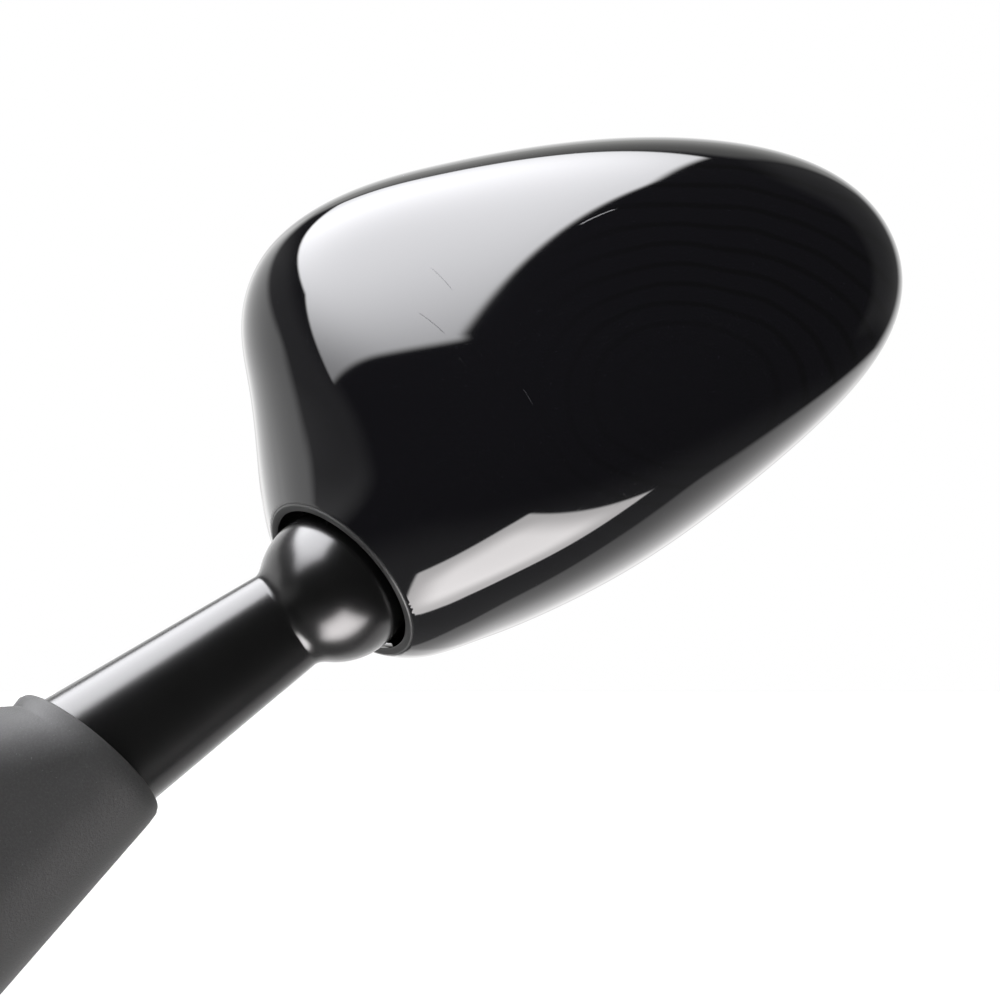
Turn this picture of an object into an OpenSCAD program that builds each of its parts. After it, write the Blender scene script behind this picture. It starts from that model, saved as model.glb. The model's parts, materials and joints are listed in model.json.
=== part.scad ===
// Left-hand fairing mirror for a motorcycle: a glossy shell on a ball-ended
// cast arm that folds on a pivot hidden under a rubber boot.
// X points outboard, Y towards the rider, Z up. The origin is the middle of
// the face that lies on the fairing.

/* [Head] */
// Length of the head along its long axis
head_length = 184; // [160:1:210]
// Height of the head across its long axis
head_height = 114; // [100:1:130]
// Depth of the shell from its rim to its crown
head_depth = 60; // [56:1:64]
// How far the long axis leans up from level, in degrees
head_lean = 27; // [20:1:34]
// Distance from the head's near end to the ball, along the head
ball_set_in = 18.5; // [17.5:0.5:20]
// How far the ball lies below the head's middle line
ball_drop = 16.4; // [15:0.2:18]
// Distance from the head's middle back to the crown's middle, along the head
crown_back = 17; // [12:1:20]
// How far the crown's middle lies below the head's middle line
crown_low = 7; // [4:1:10]
// How far the rim lies behind the ball, towards the rider
rim_set_back = 28.5; // [27:0.5:32]
// Wall of the shell
shell_wall = 2.2; // [1.8:0.1:2.8]
// Sharpness of the shell's shoulder, 2 is round
shoulder = 2.7; // [2:0.1:3.5]

/* [Arm and ball] */
// Radius of the ball
ball_r = 20; // [18:0.5:20.5]
// Radius of the shell's opening round the ball
mouth_r = 22.4; // [22:0.1:23]
// Length from the fold pivot to the middle of the ball
arm_length = 110; // [100:1:125]
// How steeply the arm rises, in degrees
arm_rise = 35.2; // [30:1:42]
// How far the arm sweeps back towards the rider, in degrees
arm_sweep = 13; // [8:1:18]
// Half height of the arm at the ball
arm_tip_r = 13.3; // [11:0.1:14]
// Half height of the arm where it enters the boot
arm_root_r = 19.4; // [18:0.1:20]
// Half height of the arm at its pivot eye
arm_eye_r = 15.5; // [14:0.5:17]
// Width of the arm as a share of its height
arm_flatness = 0.78; // [0.72:0.01:0.8]

/* [Ball clamp] */
// Gap between the nested round faces
seat_gap = 0.2; // [0.15:0.05:0.3]
// Thickness of the plastic liner on the ball
liner_wall = 1.2; // [1:0.1:1.6]
// Thickness of the socket plate
socket_wall = 2; // [1.6:0.1:2.4]
// Thickness of the pressure cup
cup_wall = 2; // [1.6:0.1:2.4]
// Radius of the clamp stud
stud_r = 3; // [2.5:0.5:3.5]
// Radius of the hole that the clamp stud tilts in
tilt_hole_r = 9; // [8.8:0.1:9.6]
// Free height of the clamp spring
clamp_spring_h = 5.8; // [5.4:0.1:6.4]
// Distance of the socket screws from the clamp stud
socket_screw_ring = 21.5; // [21:0.5:23]

/* [Glass] */
// Radius of the glass's curve
glass_curve_r = 1400; // [1000:50:1800]
// Thickness of the glass
glass_t = 2; // [1.8:0.1:2.4]
// Thickness of the glass holder's floor
holder_t = 1.5; // [1.2:0.1:2]
// Distance from the rim to the back of the glass holder
holder_set_in = 6.5; // [6:0.1:7]
// Width of the holder's lip round the glass
holder_lip = 1.2; // [1:0.1:1.6]
// Gap round the holder and round the glass
holder_gap = 0.8; // [0.7:0.1:1]

/* [Fold pivot] */
// Distance of the fold pivot from the fairing
pivot_x = 22; // [21.5:0.5:24]
// Height of the arm's middle line at the fold pivot
pivot_z = 15.5; // [13:0.5:17]
// Radius of the pivot bolt
pivot_bolt_r = 4; // [3.5:0.5:4]
// Radial running gap between the pivot bolt and its bush
pivot_fit = 0.08; // [0.03:0.01:0.1]
// Radius of the arm's pivot eye
eye_r = 11.5; // [11:0.5:12]
// Height of the arm's pivot eye
eye_h = 31; // [30:1:33]
// Thickness of the thrust washer under the eye
thrust_t = 2; // [1.5:0.5:3]

/* [Base] */
// Thickness of the rubber pad against the fairing
pad_t = 2; // [1.5:0.5:3]
// Thickness of the base bracket's plate
plate_t = 5; // [4:0.5:6]
// Half width of the base bracket's plate
plate_r = 24; // [22:0.5:26]
// Height between the centres of the plate's two round ends
plate_straight = 40; // [36:1:42]
// Thickness of the bracket's pivot shelf
shelf_t = 6; // [5:0.5:7]
// Radius of the two mounting studs
mount_stud_r = 3; // [3:0.5:4]
// Length of the mounting studs that stands out of the pad
mount_stud_l = 22; // [16:1:30]
// Distance between the two mounting studs
mount_spacing = 50; // [44:1:54]

/* [Boot] */
// Wall of the rubber boot
boot_wall = 2.6; // [2:0.1:3]
// Distance of the boot's mouth from the fold pivot, along the arm
boot_reach = 32; // [28:1:38]
// Rise of the boot's mouth, in degrees
boot_rise = 50; // [44:1:56]
// Backward sweep of the boot's mouth, in degrees
boot_sweep = 21.5; // [16:0.5:28]
// Length of the boot's straight collar at its mouth
collar_l = 4.5; // [3:0.5:6]
// Height of the boot's straight foot round the plate
foot_h = 5.5; // [5:0.5:7]

/* [Hidden] */
$fn = 96;

// Main directions and places
arm_eye_start = 4;
arm_root_place = boot_reach - 6;
arm_axis = [cos(arm_rise) * cos(arm_sweep), sin(arm_sweep), sin(arm_rise) * cos(arm_sweep)];
arm_up = [-sin(arm_rise), 0, cos(arm_rise)];
pivot_pos = [pivot_x, 0, pivot_z];
ball_pos = pivot_pos + arm_length * arm_axis;
head_centre = [ball_pos.x, ball_pos.z] + lean([head_length / 2 - ball_set_in, ball_drop]);
rim_y = ball_pos.y + rim_set_back;

// Shell form: outline radii over one turn, as shares of the half sizes
outline_shape = [1.09, 1.08, 1.06, 1.10, 1.22, 1.50, 1.02, 0.915,
                 0.915, 0.985, 1.055, 0.90, 0.833, 0.813, 0.893, 1.07];
outline_steps = 72;
dome_rings = 13;
crown = head_centre - lean([crown_back, crown_low]);
crown_half = [73, 49];
mouth_axis = unit([-0.652, -0.469, -0.595]);
mouth_inset = 2;
mouth_pos = ball_pos - mouth_inset * mouth_axis;
neck_in = 12;
neck_out = 7;
neck_rim_band = 5.5;

// Ball clamp stack, as radii and distances from the ball's middle
liner_in = ball_r + seat_gap;
liner_out = liner_in + liner_wall;
socket_in = liner_out + seat_gap;
socket_out = socket_in + socket_wall;
cup_in = socket_out + seat_gap;
cup_out = cup_in + cup_wall;
liner_rim_r = 15;
socket_rim_r = 17;
cup_rim_r = 13;
cup_hub_r = 9.5;
clamp_spring_z = cup_out + 1.4;
clamp_wire_r = 0.7;
clamp_turns = 2.5;
clamp_washer_t = 1.2;
clamp_washer_z = clamp_spring_z + clamp_spring_h;
clamp_nut_z = clamp_washer_z + clamp_washer_t;
clamp_nut_h = 4;
clamp_nut_r = 5.77;
stud_depth = 12;
lug_z = sqrt(socket_in * socket_in - socket_rim_r * socket_rim_r) + 0.3;
lug_r = 4.2;
socket_screw_angles = [30, 140, 205];
screw_r = 1.4;
screw_hole_r = 1.5;
screw_head_r = 2.6;
screw_head_h = 1.8;
boss_r = 3.4;
boss_drop = 7;
rib_t = 2;

// Glass and its holder
holder_y = rim_y - holder_set_in;
foam_y = holder_y + holder_t;
glass_edge_y = foam_y + 1;
glass_sag = 2.6;
foam_inset = 6;
foam_gap = 0.1;
foam_steps = 24;
holder_inset = shell_wall + holder_gap;
glass_inset = holder_inset + holder_lip + holder_gap;
window_place = [31, 24];
window_r = 14;
holder_mouth_gap = 9;
post_places = [[52, 2], [-48, 38], [-14, -36]];
post_r = 4;
post_gap = 0.3;
holder_screw_l = 11;

// Fold pivot stack, as heights
shelf_z = pivot_z - 15;
eye_z = shelf_z + thrust_t;
eye_top = eye_z + eye_h;
spring_pocket_r = 8.5;
spring_pocket_h = 15;
spring_pocket_z = eye_top - spring_pocket_h;
bush_r = 6;
shelf_boss_r = 11.5;
seat_t = 1.5;
nut_access_h = 16;
bolt_head_h = 5.3;
bolt_head_r = 7.5;
pivot_nut_h = 6.5;
bolt_top_z = eye_top + pivot_nut_h + 1;
stud_boss_h = 2;
stud_shank_r = mount_stud_r + 0.5;
gusset_t = 3;
gusset_h = 20;
boot_gap = 0.3;

// Boot form
boot_r = plate_r + boot_gap + boot_wall;
boot_axis = [cos(boot_rise) * cos(boot_sweep), sin(boot_sweep), sin(boot_rise) * cos(boot_sweep)];
boot_up = [-sin(boot_rise), 0, cos(boot_rise)];
boot_side = cross(boot_up, boot_axis);
boot_offset = [0.4, -0.2, 1.5];
boot_pos = pivot_pos + boot_reach * arm_axis + boot_offset;
mouth_half = [18.6, 22.5];
mouth_bore = [16.9, 20.5];
mouth_bore_drop = 0.9;
boot_steps = 48;
boot_rings = 7;

// Small helpers
function unit(v) = v / norm(v);
function lean(v) = [v.x * cos(head_lean) - v.y * sin(head_lean),
                    v.x * sin(head_lean) + v.y * cos(head_lean)];

// Smooth closed curve through a list of values, t runs from 0 to 1
function closed_curve(v, t) =
  let (n = len(v), s = t * n, k = floor(s), f = s - k,
       w = [pow(1 - f, 3), 3 * pow(f, 3) - 6 * f * f + 4,
            -3 * pow(f, 3) + 3 * f * f + 3 * f + 1, pow(f, 3)] / 6)
  v[(k - 1 + n) % n] * w[0] + v[k % n] * w[1] + v[(k + 1) % n] * w[2] + v[(k + 2) % n] * w[3];

// Head outline at an angle, and the same moved inwards by d
function outline(a) =
  let (r = closed_curve(outline_shape, (a % 360) / 360))
  head_centre + lean([head_length / 2 * r * cos(a), head_height / 2 * r * sin(a)]);
function inset_outline(a, d) =
  let (t = unit(outline(a + 0.5) - outline(a + 359.5)))
  outline(a) + d * [-t.y, t.x];

// Pulls the shell's corner to a true circle where the opening's plane cuts it
function neck(p, r) =
  let (rel = p - mouth_pos, h = rel * mouth_axis, side = rel - h * mouth_axis,
       reach = h < 0 ? neck_in : neck_out,
       u = max(0, min(1, (rim_y - p.y) / neck_rim_band)),
       w = abs(h) < reach ? pow(1 - pow(h / reach, 2), 2) * u * u * (3 - 2 * u) : 0,
       s = norm(side))
  s < 0.01 ? p : p + side * ((r - s) * w / s);

// A point of the shell's dome, t runs from the rim to the crown
function dome_point(a, t, d) =
  let (phi = 90 * pow(t, 1.25), h = cos(phi), v = pow(sin(phi), 2 / shoulder),
       e = lean([(crown_half.x - d) * cos(a), (crown_half.y - d) * sin(a)]),
       q = crown + h * ((inset_outline(a, d) - crown) * h * h + (1 - h * h) * e))
  neck([q.x, rim_y - (head_depth - d) * v, q.y], mouth_r + shell_wall - d);

// Joins closed rings of points into one solid with flat ends
module skin(rings) {
  n = len(rings[0]);
  m = len(rings);
  polyhedron(
    points = [for (ring = rings) for (p = ring) p],
    faces = concat(
      [[for (j = [0 : n - 1]) j]],
      [for (i = [0 : m - 2]) for (j = [0 : n - 1])
        [i * n + j, (i + 1) * n + j, i * n + (j + 1) % n]],
      [for (i = [0 : m - 2]) for (j = [0 : n - 1])
        [(i + 1) * n + j, (i + 1) * n + (j + 1) % n, i * n + (j + 1) % n]],
      [[for (j = [n - 1 : -1 : 0]) (m - 1) * n + j]]));
}

// The whole space inside the dome, moved in by d and raised above the rim
module dome(d, lift) {
  skin(concat(
    lift > 0 ? [dome_lift(d, lift)] : [],
    [for (i = [0 : dome_rings]) dome_ring(i == dome_rings ? 0.985 : i / dome_rings, d)]));
}
function dome_ring(t, d) =
  [for (j = [0 : outline_steps - 1]) dome_point(j * 360 / outline_steps, t, d)];
function dome_lift(d, lift) =
  [for (j = [0 : outline_steps - 1])
    let (q = inset_outline(j * 360 / outline_steps, d)) [q.x, rim_y + lift, q.y]];

// Turns +Z to a direction, and places children on the ball or the pivot
module point_to(v) {
  rotate([0, acos(v.z / norm(v)), atan2(v.y, v.x)]) children();
}
module on_ball() {
  translate(ball_pos) point_to(arm_axis) children();
}
module on_pivot(z) {
  translate([pivot_x, 0, z]) children();
}

// A slice of the head's outline between two depths
module outline_slab(d, y0, y1) {
  translate([0, y1, 0]) rotate([90, 0, 0]) linear_extrude(y1 - y0)
    polygon([for (j = [0 : outline_steps - 1]) inset_outline(j * 360 / outline_steps, d)]);
}

// A round shell piece on the ball, cut to a given rim
module cap(inner, outer, rim) {
  difference() {
    intersection() {
      sphere(outer);
      cylinder(h = outer + 1, r = rim);
    }
    sphere(inner);
  }
}

// A coil spring that stands on z = 0
module coil(mean_r, wire_r, height, turns) {
  steps = ceil(turns * 20);
  skin([for (i = [0 : steps])
    let (a = 360 * turns * i / steps, z = wire_r + (height - 2 * wire_r) * i / steps)
    [for (k = [0 : 7])
      let (b = -45 * k, r = mean_r + wire_r * cos(b))
      [r * cos(a), r * sin(a), z + wire_r * sin(b)]]]);
}

module at_socket_screws() {
  for (a = socket_screw_angles) rotate(a) translate([socket_screw_ring, 0, 0]) children();
}

// Places children on the holder's posts, with +Z towards the rider
module at_posts(y) {
  for (place = post_places) {
    q = head_centre + lean(place);
    translate([q.x, y, q.y]) rotate([-90, 0, 0]) children();
  }
}

// Bosses and ribs that stand inside the shell
module shell_supports() {
  difference() {
    on_ball() difference() {
      union() {
        at_socket_screws() translate([0, 0, lug_z - boss_drop]) cylinder(h = boss_drop, r = boss_r);
        for (a = socket_screw_angles) rotate(a)
          translate([socket_screw_ring, -rib_t / 2, lug_z - boss_drop]) cube([22, rib_t, boss_drop]);
      }
      sphere(socket_in);
      at_socket_screws() cylinder(h = lug_z + 1, r = screw_hole_r);
    }
    translate([ball_pos.x - 60, holder_y - post_gap, ball_pos.z - 60]) cube([120, 20, 120]);
  }
  difference() {
    union() {
      at_posts(rim_y - head_depth) cylinder(h = head_depth - holder_set_in - post_gap, r = post_r);
      at_posts(rim_y - head_depth)
        for (a = [45, 135]) rotate(a) translate([-9, -rib_t / 2, 0])
          cube([18, rib_t, head_depth - holder_set_in - 12]);
    }
    at_posts(rim_y - holder_set_in - 12) cylinder(h = 13, r = screw_hole_r);
  }
}

// Everything that the opening's plane cuts off, moved into the head by d
module mouth_cut(d) {
  translate(mouth_pos - d * mouth_axis) point_to(mouth_axis) cylinder(h = head_depth / 2, r = 2 * mouth_r);
}

module housing() {
  color([0.03, 0.03, 0.035]) difference() {
    dome(0, 0);
    difference() {
      dome(shell_wall, 1);
      shell_supports();
    }
    mouth_cut(0);
  }
}

module mirror_glass() {
  color([0.75, 0.8, 0.82]) translate([head_centre.x, 0, head_centre.y]) intersection() {
    translate([-head_centre.x, 0, -head_centre.y]) outline_slab(glass_inset, foam_y, rim_y + 2);
    difference() {
      translate([0, glass_edge_y + glass_sag + glass_t - glass_curve_r, 0]) glass_ball(glass_curve_r);
      translate([0, glass_edge_y + glass_sag + glass_t - glass_curve_r, 0]) glass_ball(glass_curve_r - glass_t);
    }
  }
}
module glass_ball(r) {
  rotate([-90, 0, 0]) sphere(r, $fn = 200);
}

// Height of the glass's back above the holder's floor, at a distance from its middle
function glass_back(x) =
  glass_edge_y + glass_sag - foam_y - (glass_curve_r - sqrt(glass_curve_r * glass_curve_r - x * x));

// Room behind the glass for the clamp stud when the head tilts
module window_hole() {
  translate([ball_pos.x + window_place.x, holder_y - 1, ball_pos.z + window_place.y])
    rotate([-90, 0, 0]) cylinder(h = 12, r = window_r);
}

module foam_pad() {
  reach = 0.6 * head_length;
  color([0.2, 0.2, 0.2]) difference() {
    intersection() {
      outline_slab(glass_inset + foam_inset, foam_y, rim_y + 2);
      translate([head_centre.x, foam_y, head_centre.y]) rotate([-90, 0, 0]) rotate_extrude()
        polygon(concat(
          [[0, -1], [reach, -1]],
          [for (i = [foam_steps : -1 : 0]) let (x = reach * i / foam_steps) [x, glass_back(x) - foam_gap]]));
    }
    at_posts(foam_y - 1) cylinder(h = 20, r = screw_head_r + 1);
    window_hole();
  }
}

module glass_holder() {
  color([0.06, 0.06, 0.06]) difference() {
    outline_slab(holder_inset, holder_y, rim_y - 1.2);
    outline_slab(holder_inset + holder_lip, foam_y, rim_y);
    at_posts(holder_y - 1) cylinder(h = 5, r = screw_r + 0.2);
    window_hole();
    mouth_cut(holder_mouth_gap);
  }
}

module holder_screws() {
  color([0.55, 0.55, 0.55]) at_posts(foam_y) {
    translate([0, 0, 0.02]) cylinder(h = screw_head_h, r = screw_head_r);
    translate([0, 0, -holder_screw_l]) cylinder(h = holder_screw_l + 1, r = screw_r);
  }
}

module socket_plate() {
  color([0.5, 0.5, 0.52]) on_ball() difference() {
    union() {
      rotate_extrude() intersection() {
        difference() {
          circle(socket_out);
          circle(socket_in);
        }
        translate([tilt_hole_r, lug_z]) square([socket_out, socket_out]);
      }
      for (a = socket_screw_angles) rotate(a)
        translate([socket_rim_r, -lug_r, lug_z]) cube([socket_screw_ring - socket_rim_r, 2 * lug_r, socket_wall]);
      at_socket_screws() translate([0, 0, lug_z]) cylinder(h = socket_wall, r = lug_r);
    }
    sphere(socket_in);
    at_socket_screws() cylinder(h = 60, r = screw_r + 0.2);
  }
}

module socket_screws() {
  color([0.6, 0.6, 0.6]) on_ball() at_socket_screws() {
    translate([0, 0, lug_z + socket_wall]) cylinder(h = screw_head_h, r = screw_head_r);
    translate([0, 0, lug_z - boss_drop + 1]) cylinder(h = boss_drop + socket_wall, r = screw_r);
  }
}

module ball_liner() {
  color([0.85, 0.84, 0.8]) on_ball() difference() {
    cap(liner_in, liner_out, liner_rim_r);
    cylinder(h = 60, r = tilt_hole_r);
  }
}

module pressure_cup() {
  color([0.6, 0.6, 0.62]) on_ball() difference() {
    union() {
      cap(cup_in - 0.5, cup_out, cup_rim_r);
      translate([0, 0, cup_in - 4]) cylinder(h = clamp_spring_z - cup_in + 4, r = cup_hub_r);
    }
    sphere(cup_in);
    cylinder(h = 60, r = stud_r + 0.2);
  }
}

module clamp_spring() {
  color([0.7, 0.7, 0.7]) on_ball() translate([0, 0, clamp_spring_z + 0.05])
    coil(stud_r + 3.2, clamp_wire_r, clamp_spring_h - 0.1, clamp_turns);
}

module clamp_washer() {
  color([0.7, 0.7, 0.7]) on_ball() translate([0, 0, clamp_washer_z]) difference() {
    cylinder(h = clamp_washer_t, r = cup_hub_r - 1.5);
    translate([0, 0, -1]) cylinder(h = 4, r = stud_r + 0.2);
  }
}

module clamp_nut() {
  color([0.7, 0.7, 0.7]) on_ball() translate([0, 0, clamp_nut_z]) difference() {
    cylinder(h = clamp_nut_h, r = clamp_nut_r, $fn = 6);
    translate([0, 0, -1]) cylinder(h = 6, r = stud_r + 0.02);
  }
}

module ball_stud() {
  color([0.65, 0.65, 0.65]) on_ball() translate([0, 0, ball_r - stud_depth])
    cylinder(h = clamp_nut_z + clamp_nut_h + 0.8 - ball_r + stud_depth, r = stud_r);
}

module stem() {
  color([0.09, 0.09, 0.095]) difference() {
    union() {
      translate(ball_pos) sphere(ball_r);
      arm_taper(arm_eye_start, arm_root_place + 2, arm_eye_r, arm_root_r - 0.4);
      arm_taper(arm_root_place, arm_length - ball_r / 2, arm_root_r, arm_tip_r);
      on_pivot(eye_z) cylinder(h = eye_h, r = eye_r);
    }
    on_ball() translate([0, 0, ball_r - stud_depth - 2]) cylinder(h = 20, r = stud_r + 0.02);
    on_pivot(eye_z - 1) cylinder(h = eye_h + 2, r = bush_r + 0.02);
    on_pivot(spring_pocket_z) cylinder(h = spring_pocket_h + nut_access_h, r = spring_pocket_r);
  }
}
// A flattened cone along the arm, between two distances from the pivot
module arm_taper(from, to, r1, r2) {
  translate(pivot_pos + from * arm_axis) arm_frame() scale([1, arm_flatness, 1])
    cylinder(h = to - from, r1 = r1, r2 = r2);
}
// Turns +Z along the arm, with +X up across it
module arm_frame() {
  rotate([0, 0, atan2(arm_axis.y, arm_axis.x)]) rotate([0, acos(arm_axis.z), 0]) children();
}

module pivot_bush() {
  color([0.7, 0.55, 0.3]) on_pivot(eye_z) difference() {
    cylinder(h = spring_pocket_z - eye_z, r = bush_r);
    translate([0, 0, -1]) cylinder(h = eye_h, r = pivot_bolt_r + pivot_fit);
  }
}

module thrust_washer() {
  color([0.75, 0.6, 0.35]) on_pivot(shelf_z) difference() {
    cylinder(h = thrust_t, r = shelf_boss_r);
    translate([0, 0, -1]) cylinder(h = thrust_t + 2, r = pivot_bolt_r + 0.3);
  }
}

module pivot_bolt() {
  head_z = shelf_z - shelf_t - bolt_head_h;
  color([0.65, 0.65, 0.65]) on_pivot(head_z) union() {
    cylinder(h = bolt_top_z - head_z, r = pivot_bolt_r);
    cylinder(h = bolt_head_h, r = bolt_head_r, $fn = 6);
  }
}

module pivot_spring() {
  color([0.7, 0.7, 0.7]) on_pivot(spring_pocket_z + 0.3)
    coil(6.4, 1.1, spring_pocket_h - seat_t - 0.35, 4);
}

module spring_seat() {
  color([0.7, 0.7, 0.7]) on_pivot(eye_top - seat_t) difference() {
    cylinder(h = seat_t, r = spring_pocket_r - 0.5);
    translate([0, 0, -1]) cylinder(h = seat_t + 2, r = pivot_bolt_r + 0.2);
  }
}

module pivot_nut() {
  color([0.7, 0.7, 0.7]) on_pivot(eye_top) difference() {
    union() {
      cylinder(h = pivot_nut_h - 1.5, r = bolt_head_r, $fn = 6);
      cylinder(h = pivot_nut_h, r = bolt_head_r - 1.8);
    }
    translate([0, 0, -1]) cylinder(h = pivot_nut_h + 2, r = pivot_bolt_r + 0.02);
  }
}

// A plate with two round ends that stands on its edge across X
module end_rounded_plate(r, x0, x1) {
  translate([x0, 0, 0]) rotate([90, 0, 90]) linear_extrude(x1 - x0) {
    for (side = [-1, 1]) translate([0, side * plate_straight / 2]) circle(r);
    translate([-r, -plate_straight / 2]) square([2 * r, plate_straight]);
  }
}

module at_mount_studs(x) {
  for (side = [-1, 1]) translate([x, 0, side * mount_spacing / 2]) rotate([0, 90, 0]) children();
}

module base_bracket() {
  color([0.12, 0.12, 0.12]) difference() {
    union() {
      end_rounded_plate(plate_r, pad_t, pad_t + plate_t);
      on_pivot(shelf_z - shelf_t) cylinder(h = shelf_t, r = shelf_boss_r);
      translate([pad_t + 1, -shelf_boss_r, shelf_z - shelf_t])
        cube([pivot_x - pad_t - 1, 2 * shelf_boss_r, shelf_t]);
      for (side = [-1, 1]) translate([0, side * (shelf_boss_r - gusset_t / 2), 0]) rotate([90, 0, 0])
        linear_extrude(gusset_t, center = true)
          polygon([[pad_t + 1, shelf_z - 1], [pivot_x + 2, shelf_z - 1], [pad_t + 1, shelf_z - gusset_h - shelf_t]]);
      at_mount_studs(pad_t + plate_t - 1) cylinder(h = stud_boss_h + 1, r = 2 * mount_stud_r);
    }
    on_pivot(shelf_z - shelf_t - 1) cylinder(h = shelf_t + 2, r = pivot_bolt_r + 0.05);
    on_pivot(shelf_z - shelf_t - gusset_h) cylinder(h = gusset_h, r = bolt_head_r + 0.8);
    at_mount_studs(0) cylinder(h = pad_t + plate_t + stud_boss_h + 1, r = stud_shank_r + 0.02);
  }
}

module mount_studs() {
  color([0.6, 0.6, 0.62]) {
    at_mount_studs(-mount_stud_l) cylinder(h = mount_stud_l + 1, r = mount_stud_r);
    at_mount_studs(0) cylinder(h = pad_t + plate_t + stud_boss_h, r = stud_shank_r);
  }
}

module base_pad() {
  color([0.08, 0.08, 0.08]) difference() {
    end_rounded_plate(boot_r, 0, pad_t);
    at_mount_studs(-1) cylinder(h = pad_t + 2, r = stud_shank_r + 0.2);
  }
}

// Boot rings: a round-ended foot on the pad that flows into a tilted mouth
function foot_point(a, r, x) = [x, r * cos(a), r * sin(a) + sign(sin(a)) * plate_straight / 2];
function mouth_point(a, half, drop, back) =
  boot_pos - back * boot_axis + half.x * cos(a) * boot_side + (half.y * sin(a) - drop) * boot_up;
function boot_ring(t, r, half, drop, x) =
  [for (j = [0 : boot_steps - 1])
    let (a = (j + 0.5) * 360 / boot_steps)
    foot_point(a, r, x) * (1 - t) + mouth_point(a, half, drop, collar_l) * t];
function collar_ring(half, drop, back) =
  [for (j = [0 : boot_steps - 1])
    mouth_point((j + 0.5) * 360 / boot_steps, half, drop, back)];

module rubber_boot() {
  body_half = [mouth_half.x, mouth_half.y + 0.4];
  color([0.16, 0.16, 0.17]) difference() {
    skin(concat(
      [boot_ring(0, boot_r, body_half, 0, pad_t)],
      [for (i = [0 : boot_rings]) boot_ring(i / boot_rings, boot_r, body_half, 0.2, pad_t + foot_h)],
      [collar_ring(body_half, 0, 1.2), collar_ring(mouth_half - [0.8, 0.8], 0, 0)]));
    skin(concat(
      [boot_ring(0, boot_r - boot_wall, mouth_bore, mouth_bore_drop, pad_t - 1)],
      [for (i = [0 : boot_rings])
        boot_ring(i / boot_rings, boot_r - boot_wall, mouth_bore, mouth_bore_drop, pad_t + foot_h)],
      [collar_ring(mouth_bore, mouth_bore_drop, -1)]));
  }
}

housing();
mirror_glass();
foam_pad();
glass_holder();
holder_screws();
socket_plate();
socket_screws();
ball_liner();
pressure_cup();
clamp_spring();
clamp_washer();
clamp_nut();
ball_stud();
stem();
pivot_bush();
thrust_washer();
pivot_bolt();
pivot_spring();
spring_seat();
pivot_nut();
base_bracket();
mount_studs();
base_pad();
rubber_boot();
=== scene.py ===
# A motorcycle mirror: glossy moulded shell, convex glass, cast arm and rubber boot.
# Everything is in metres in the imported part's frame: +X outboard, +Y to the rider, +Z up.
import json
import math

import bmesh
import bpy
import numpy as np
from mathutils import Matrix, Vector


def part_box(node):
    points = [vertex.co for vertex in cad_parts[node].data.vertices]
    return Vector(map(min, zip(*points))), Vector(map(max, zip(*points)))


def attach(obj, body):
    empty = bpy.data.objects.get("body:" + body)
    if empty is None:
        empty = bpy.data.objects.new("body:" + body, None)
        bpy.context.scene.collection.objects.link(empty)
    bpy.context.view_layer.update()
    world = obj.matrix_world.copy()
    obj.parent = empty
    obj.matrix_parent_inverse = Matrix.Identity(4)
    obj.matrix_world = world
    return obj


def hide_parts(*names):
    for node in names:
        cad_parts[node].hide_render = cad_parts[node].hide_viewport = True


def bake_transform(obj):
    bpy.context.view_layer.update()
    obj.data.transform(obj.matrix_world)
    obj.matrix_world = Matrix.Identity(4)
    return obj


mm = 0.001
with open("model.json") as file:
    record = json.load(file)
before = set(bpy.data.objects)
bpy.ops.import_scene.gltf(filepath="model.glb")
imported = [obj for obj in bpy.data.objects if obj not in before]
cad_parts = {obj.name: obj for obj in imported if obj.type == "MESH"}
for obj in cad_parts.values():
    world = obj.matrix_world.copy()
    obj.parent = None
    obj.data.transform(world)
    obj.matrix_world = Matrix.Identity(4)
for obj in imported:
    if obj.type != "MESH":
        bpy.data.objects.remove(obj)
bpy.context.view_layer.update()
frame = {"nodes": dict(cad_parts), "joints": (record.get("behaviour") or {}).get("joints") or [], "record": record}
scene = bpy.context.scene
nodes = frame["nodes"]


# Places that come from the frame
def unit(v):
    v = np.asarray(v, float)
    return v / np.linalg.norm(v)


jointPlace = {joint["name"]: np.array(joint["pos_m"]) for joint in frame["joints"]}
ballMiddle = jointPlace["head_pan"]
pivotMiddle = jointPlace["arm_fold"]
armAxis = unit(ballMiddle - pivotMiddle)
armLength = float(np.linalg.norm(ballMiddle - pivotMiddle))
armSide = unit(np.cross([0, 0, 1], armAxis))
armUp = np.cross(armAxis, armSide)
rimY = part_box("housing")[1].y
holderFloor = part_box("glass_holder")[0].y
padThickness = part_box("base_pad")[1].x
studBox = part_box("mount_studs")
mouthAxis = unit((-0.652, -0.469, -0.595))             # out of the shell's opening
mouthSetBack = 2 * mm                                   # from the ball's middle into the shell
mouthMiddle = ballMiddle - mouthSetBack * mouthAxis
print("frame loaded:", len(nodes), "nodes, arm", round(armLength / mm, 1), "mm")


# Meshes from rings of points
def smoothStep(x):
    x = np.clip(x, 0, 1)
    return x * x * (3 - 2 * x)


def smoothUnder(bm, sharpAngle):
    # smooth shading, broken at the edges that are sharper than the angle in degrees
    for edge in bm.edges:
        edge.smooth = len(edge.link_faces) != 2 or edge.calc_face_angle(0) < math.radians(sharpAngle)
    for face in bm.faces:
        face.smooth = True


def meshFromBmesh(bm, name, sharpAngle=35):
    bmesh.ops.recalc_face_normals(bm, faces=bm.faces)
    smoothUnder(bm, sharpAngle)
    mesh = bpy.data.meshes.new(name)
    bm.to_mesh(mesh)
    bm.free()
    piece = bpy.data.objects.new(name, mesh)
    scene.collection.objects.link(piece)
    return piece


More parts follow.
